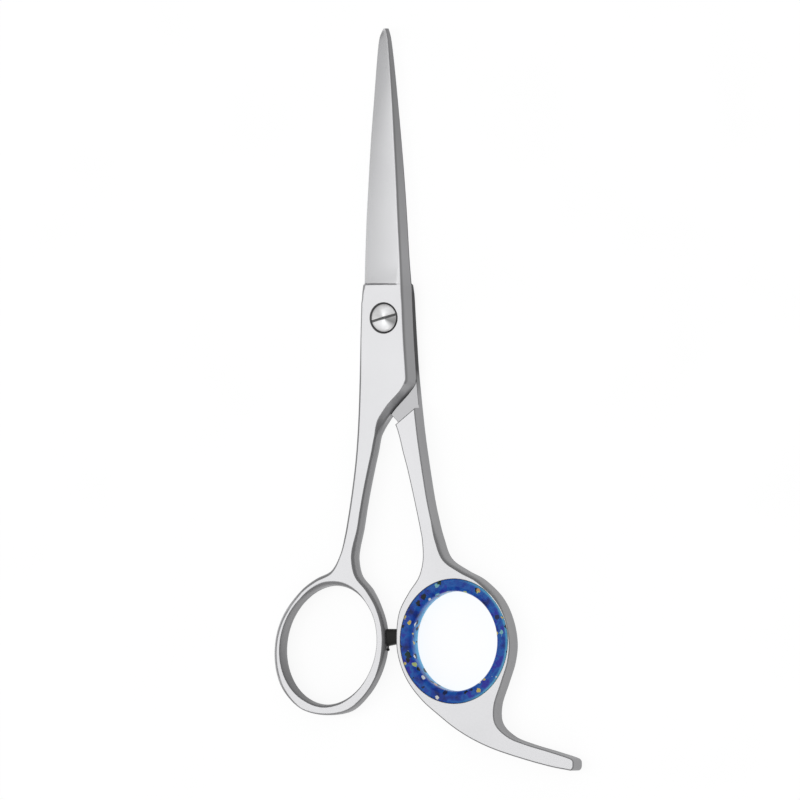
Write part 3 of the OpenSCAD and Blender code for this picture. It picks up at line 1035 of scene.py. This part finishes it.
def blue_resin():
    """Clear-coated blue resin with foil flakes cast into it, mixed to a pale blue where the vertex values
    paint light.
    """
    n = Nodes("blue_resin")
    n.set(Roughness=0.3, Specular_IOR_Level=0.25)
    blues = [
        (0.3, (0.005, 0.02, 0.16)), (0.42, (0.006, 0.05, 0.42)), (0.54, (0.008, 0.14, 0.56)),
        (0.64, (0.025, 0.03, 0.45)),
    ]
    base = n.ramp(n.noise(n.coordinates(), 330, 3), blues)
    # Painted light: pale blue mixed in by the insert's vertex values
    attribute = n.tree.nodes.new("ShaderNodeAttribute")
    attribute.attribute_name = "finish_and_painted_light"
    pale = n.ramp(n.noise(n.coordinates(), 400, 2), [(0.3, (0.1, 0.5, 0.85)), (0.7, (0.2, 0.65, 0.95))])
    color = n.mix(attribute.outputs["Fac"], base, pale)
    dark_flakes = [(0.0, (0.004, 0.01, 0.02)), (0.5, (0.005, 0.04, 0.03)), (0.75, (0.01, 0.02, 0.1))]
    bright_flakes = [
        (0.0, (0.95, 0.95, 0.9)), (0.3, (0.6, 0.7, 0.25)), (0.5, (0.75, 0.6, 0.15)),
        (0.65, (0.75, 0.4, 0.15)), (0.75, (0.25, 0.6, 0.65)), (0.88, (0.01, 0.03, 0.04)),
    ]
    # One flake in about eight cells, at most as far from the cell's centre as its reach
    for scale, low, reach, palette in ((700, 0.88, 0.48, dark_flakes), (800, 0.87, 0.48, bright_flakes)):
        ripple = n.new("ShaderNodeTexNoise", Scale=1400, Detail=2)
        n.link(n.coordinates(), ripple.inputs["Vector"])
        bent = n.new("ShaderNodeVectorMath", operation="MULTIPLY_ADD")
        n.link(ripple.outputs["Color"], bent.inputs[0])
        bent.inputs[1].default_value = (0.0009, 0.0009, 0.0009)
        n.link(n.coordinates(), bent.inputs[2])
        cells = n.new("ShaderNodeTexVoronoi", Scale=scale)
        n.link(bent.outputs[0], cells.inputs["Vector"])
        split = n.tree.nodes.new("ShaderNodeSeparateColor")
        n.link(cells.outputs["Color"], split.inputs["Color"])
        flake = n.ramp(split.outputs["Green"], palette, "CONSTANT")
        pick = n.new("ShaderNodeMath", operation="GREATER_THAN")
        n.link(split.outputs["Red"], pick.inputs[0])
        pick.inputs[1].default_value = low
        within = n.new("ShaderNodeMath", operation="LESS_THAN")
        n.link(cells.outputs["Distance"], within.inputs[0])
        within.inputs[1].default_value = reach
        both = n.new("ShaderNodeMath", operation="MULTIPLY")
        n.link(pick.outputs[0], both.inputs[0])
        n.link(within.outputs[0], both.inputs[1])
        color = n.mix(both.outputs[0], color, flake)
    n.link(color, n.shader.inputs["Base Color"])
    n.bump(n.noise(n.coordinates(), 350, 2), 0.1, 0.00005)
    return n.material


MATERIALS = {
    "satin_steel": satin_steel(),
    "screw_steel": turned_steel(),
    "washer_steel": washer_steel(),
    "glide_plastic": glide_plastic(),
    "black_rubber": black_rubber(),
    "blue_resin": blue_resin(),
}


def dress(piece, slot, body, *nodes):
    piece.data.materials.clear()
    piece.data.materials.append(MATERIALS[slot])
    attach(piece, body)
    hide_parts(*nodes)


dress(make_front_half(), "satin_steel", "front_blade", "front_half")
dress(make_rear_half(), "satin_steel", "rear_blade", "rear_half")
dress(make_screw(), "screw_steel", "screw", "pivot_screw")
dress(make_bumper(), "black_rubber", "front_blade", "bumper")
dress(make_insert(), "blue_resin", "rear_blade", "finger_insert")
for node_name, slot_name in (("spring_washer", "washer_steel"), ("glide_washer", "glide_plastic")):
    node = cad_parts[node_name]
    node.data.materials.clear()
    node.data.materials.append(MATERIALS[slot_name])


# Stage: floor, light and camera

VIEW_TURN = math.radians(27)
CAMERA_FAR = 8.0
FRAME_WIDTH = 0.1931
AIM = Vector((0.00325, -0.0198, BODY_T / 2 * MM))


def add_floor():
    shape = Shape()
    size = 1500
    shape.add([(-size, -size, 0), (size, -size, 0), (size, size, 0), (-size, size, 0)])
    shape.face((0, 1, 2, 3))
    floor = raw_object("floor", shape)
    floor.location.z = -0.0001
    n = Nodes("floor_paper")
    paper = n.ramp(n.noise(n.coordinates(), 30, 2), [(0.3, (0.24, 0.24, 0.24)), (0.7, (0.26, 0.26, 0.26))])
    n.link(paper, n.shader.inputs["Base Color"])
    n.set(Roughness=1.0, Specular_IOR_Level=0.0, Emission_Strength=0.86)
    n.shader.inputs["Emission Color"].default_value = (1, 1, 1, 1)
    floor.data.materials.append(n.material)


def add_light(name, direction, far, size, energy):
    """A soft panel that faces the joint from a direction."""
    light = bpy.data.lights.new(name, "AREA")
    light.shape = "RECTANGLE"
    light.size, light.size_y = size
    light.energy = energy
    lamp = bpy.data.objects.new(name, light)
    toward = Vector(direction).normalized()
    lamp.location = AIM + toward * far
    lamp.rotation_euler = toward.to_track_quat("Z", "Y").to_euler()
    bpy.context.scene.collection.objects.link(lamp)


def add_camera():
    camera = bpy.data.cameras.new("camera")
    camera.type = "PERSP"
    camera.sensor_width = 36
    camera.lens = 36 * CAMERA_FAR / FRAME_WIDTH
    camera.clip_start = 0.05
    camera.clip_end = 20
    back = Vector((math.sin(VIEW_TURN), 0, math.cos(VIEW_TURN)))
    right = Vector((math.cos(VIEW_TURN), 0, -math.sin(VIEW_TURN)))
    up = Vector((0, 1, 0))
    eye = bpy.data.objects.new("camera", camera)
    turn = Matrix((right, up, back)).transposed().to_4x4()
    eye.matrix_world = Matrix.Translation(AIM + back * CAMERA_FAR) @ turn
    bpy.context.scene.collection.objects.link(eye)
    bpy.context.scene.camera = eye


add_floor()
PANEL_FAR = 1.1
PANELS = (
    # name, lean to the right of overhead in degrees, width, length, power
    ("panel_top", -5, 0.42, 2.0, 2.39),
    ("panel_low_left", -49, 0.42, 2.0, 0.36),
    ("panel_side", -71, 0.42, 2.0, 0.6),
)
WORLD_LIGHT = 0.42
for name, lean, width, length, power in PANELS:
    angle = math.radians(lean)
    add_light(name, (math.sin(angle), 0, math.cos(angle)), PANEL_FAR, (width, length), power)
world = bpy.data.worlds.new("studio")
world.use_nodes = True
world.node_tree.nodes["Background"].inputs["Color"].default_value = (1, 1, 1, 1)
world.node_tree.nodes["Background"].inputs["Strength"].default_value = WORLD_LIGHT
bpy.context.scene.world = world
bpy.context.scene.view_settings.view_transform = "Standard"
bpy.context.scene.view_settings.look = "None"
add_camera()
